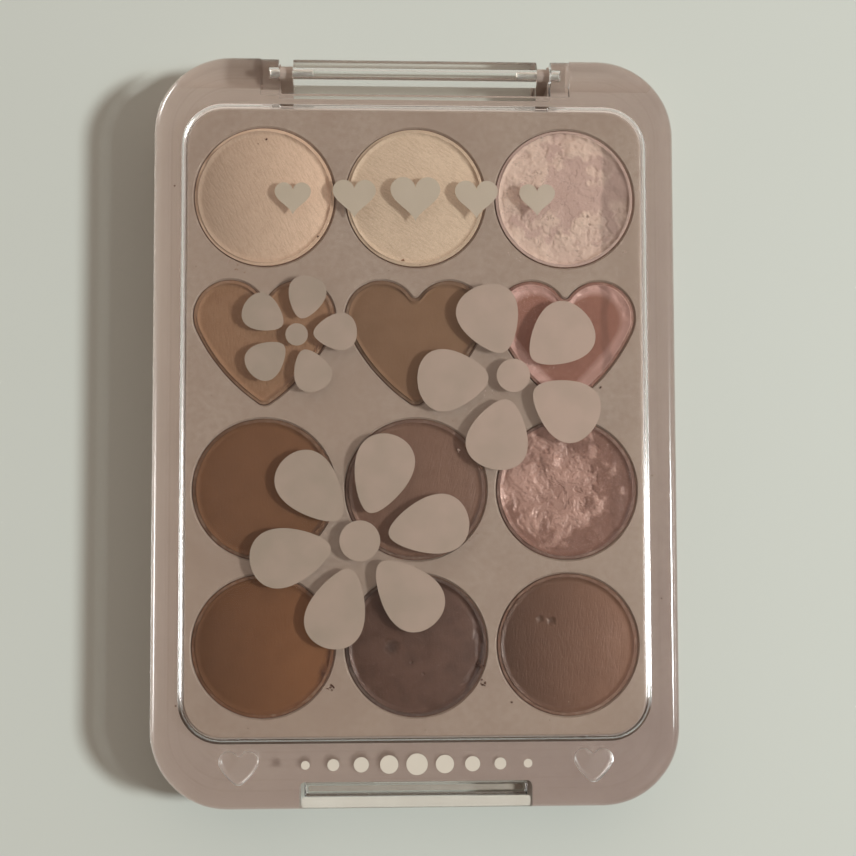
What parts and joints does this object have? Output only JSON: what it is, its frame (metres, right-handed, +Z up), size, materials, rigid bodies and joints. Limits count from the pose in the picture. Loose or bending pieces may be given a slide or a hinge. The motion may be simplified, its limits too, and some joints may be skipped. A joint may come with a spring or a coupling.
{
  "type": "eyeshadow palette",
  "caption": "Flat rounded makeup palette with a clear hinged lid, front snap latch and a tray of round and heart-shaped powder pans.",
  "frame": {"origin": "middle of the underside, on the surface that the palette lies on", "axes": "+X across the width, +Y along the length towards the hinge, +Z up through the lid"},
  "size_m": [0.0746, 0.1068, 0.012],
  "materials": {
    "pink_plastic": "dusty pink moulded plastic, soft gloss",
    "clear_plastic": "clear polished plastic",
    "pan_metal": "drawn thin metal, satin",
    "pin_steel": "drawn steel wire",
    "glue": "set hot glue",
    "powder_peach": "matte pressed powder",
    "powder_cream": "matte pressed powder",
    "powder_pale_pink": "crumbly shimmer pressed powder",
    "powder_apricot_tan": "matte pressed powder",
    "powder_warm_taupe": "matte pressed powder",
    "powder_rose": "shimmer pressed powder",
    "powder_tan_brown": "matte pressed powder",
    "powder_satin_taupe": "satin pressed powder",
    "powder_pink_glitter": "crumbly glitter pressed powder",
    "powder_brown": "matte pressed powder",
    "powder_dark_mauve": "marbled shimmer pressed powder",
    "powder_mauve_brown": "satin pressed powder"
  },
  "bodies": {
    "base": {"base_shell": "pink_plastic", "pan_tray": "pink_plastic", "pan_row1_left": "pan_metal", "pan_row1_middle": "pan_metal", "pan_row1_right": "pan_metal", "pan_row2_left": "pan_metal", "pan_row2_middle": "pan_metal", "pan_row2_right": "pan_metal", "pan_row3_left": "pan_metal", "pan_row3_middle": "pan_metal", "pan_row3_right": "pan_metal", "pan_row4_left": "pan_metal", "pan_row4_middle": "pan_metal", "pan_row4_right": "pan_metal", "powder_row1_left": "powder_peach", "powder_row1_middle": "powder_cream", "powder_row1_right": "powder_pale_pink", "powder_row2_left": "powder_apricot_tan", "powder_row2_middle": "powder_warm_taupe", "powder_row2_right": "powder_rose", "powder_row3_left": "powder_tan_brown", "powder_row3_middle": "powder_satin_taupe", "powder_row3_right": "powder_pink_glitter", "powder_row4_left": "powder_brown", "powder_row4_middle": "powder_dark_mauve", "powder_row4_right": "powder_mauve_brown", "pan_glue": "glue", "hinge_pin_left": "pin_steel", "hinge_pin_right": "pin_steel"},
    "lid": {"lid": "clear_plastic"}
  },
  "joints": [
    {"name": "lid_hinge", "type": "hinge", "parent": "base", "child": "lid", "pos_m": [0, 0.05146, 0.01005], "axis": [-1, 0, 0], "range_deg": [0, 180]}
  ]
}
